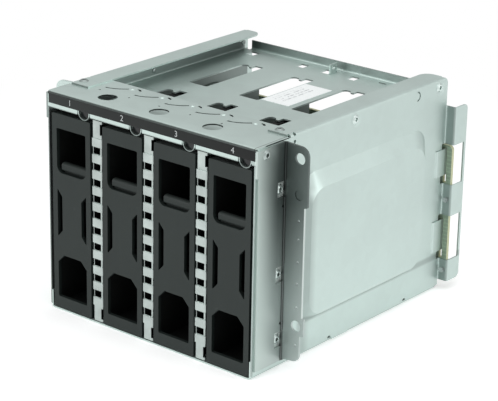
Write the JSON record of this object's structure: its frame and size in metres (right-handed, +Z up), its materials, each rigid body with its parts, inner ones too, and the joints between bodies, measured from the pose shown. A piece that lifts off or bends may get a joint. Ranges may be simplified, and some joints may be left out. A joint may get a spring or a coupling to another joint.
{
  "type": "hot swap drive cage",
  "caption": "Sheet-metal hot swap cage for drives standing side by side on edge, with sliding bay blanks, mounting ears and a backplane.",
  "frame": {"origin": "middle of the base of the bounding box", "axes": "+Z up, the front with the bay numbers faces -Y, +X to the right seen from the front"},
  "size_m": [0.1714, 0.1766, 0.1239],
  "materials": {
    "galvanised_steel": "satin",
    "spring_steel": "bright",
    "rivet_metal": "satin",
    "screw_metal": "satin",
    "blank_plastic": "fine texture",
    "socket_plastic": "matte",
    "pale_socket_plastic": "matte",
    "printed_label": "printed film",
    "dark_lens": "gloss",
    "white_sticker": "paper",
    "circuit_board": "solder mask",
    "capacitor_can": "satin"
  },
  "bodies": {
    "cage": {"left_side_wall": "galvanised_steel", "right_side_wall": "galvanised_steel", "top_plate": "galvanised_steel", "front_top_plate": "galvanised_steel", "bottom_plate": "galvanised_steel", "left_ear_bracket": "galvanised_steel", "right_ear_bracket": "galvanised_steel", "divider_1": "galvanised_steel", "divider_2": "galvanised_steel", "divider_3": "galvanised_steel", "shielding_strip_1": "spring_steel", "shielding_strip_2": "spring_steel", "shielding_strip_3": "spring_steel", "label_strip": "printed_label", "indicator_lenses": "dark_lens", "roof_sticker": "white_sticker", "wall_rivets": "rivet_metal", "front_plate_rivets": "rivet_metal", "bracket_rivets": "rivet_metal", "bracket_window_rivets": "rivet_metal", "backplane_screws": "screw_metal", "backplane_board": "circuit_board", "drive_socket_1": "socket_plastic", "drive_socket_2": "socket_plastic", "drive_socket_3": "socket_plastic", "drive_socket_4": "socket_plastic", "backplane_data_socket": "socket_plastic", "backplane_signal_header": "socket_plastic", "backplane_power_socket": "pale_socket_plastic", "backplane_capacitors": "capacitor_can"},
    "blank_1": {"drive_blank_1": "blank_plastic"},
    "blank_2": {"drive_blank_2": "blank_plastic"},
    "blank_3": {"drive_blank_3": "blank_plastic"},
    "blank_4": {"drive_blank_4": "blank_plastic"}
  },
  "joints": [
    {"name": "blank_1_slide", "type": "slide", "parent": "cage", "child": "blank_1", "axis": [0, -1, 0], "range_m": [0, 0.104]},
    {"name": "blank_2_slide", "type": "slide", "parent": "cage", "child": "blank_2", "axis": [0, -1, 0], "range_m": [0, 0.104]},
    {"name": "blank_3_slide", "type": "slide", "parent": "cage", "child": "blank_3", "axis": [0, -1, 0], "range_m": [0, 0.104]},
    {"name": "blank_4_slide", "type": "slide", "parent": "cage", "child": "blank_4", "axis": [0, -1, 0], "range_m": [0, 0.104]}
  ]
}
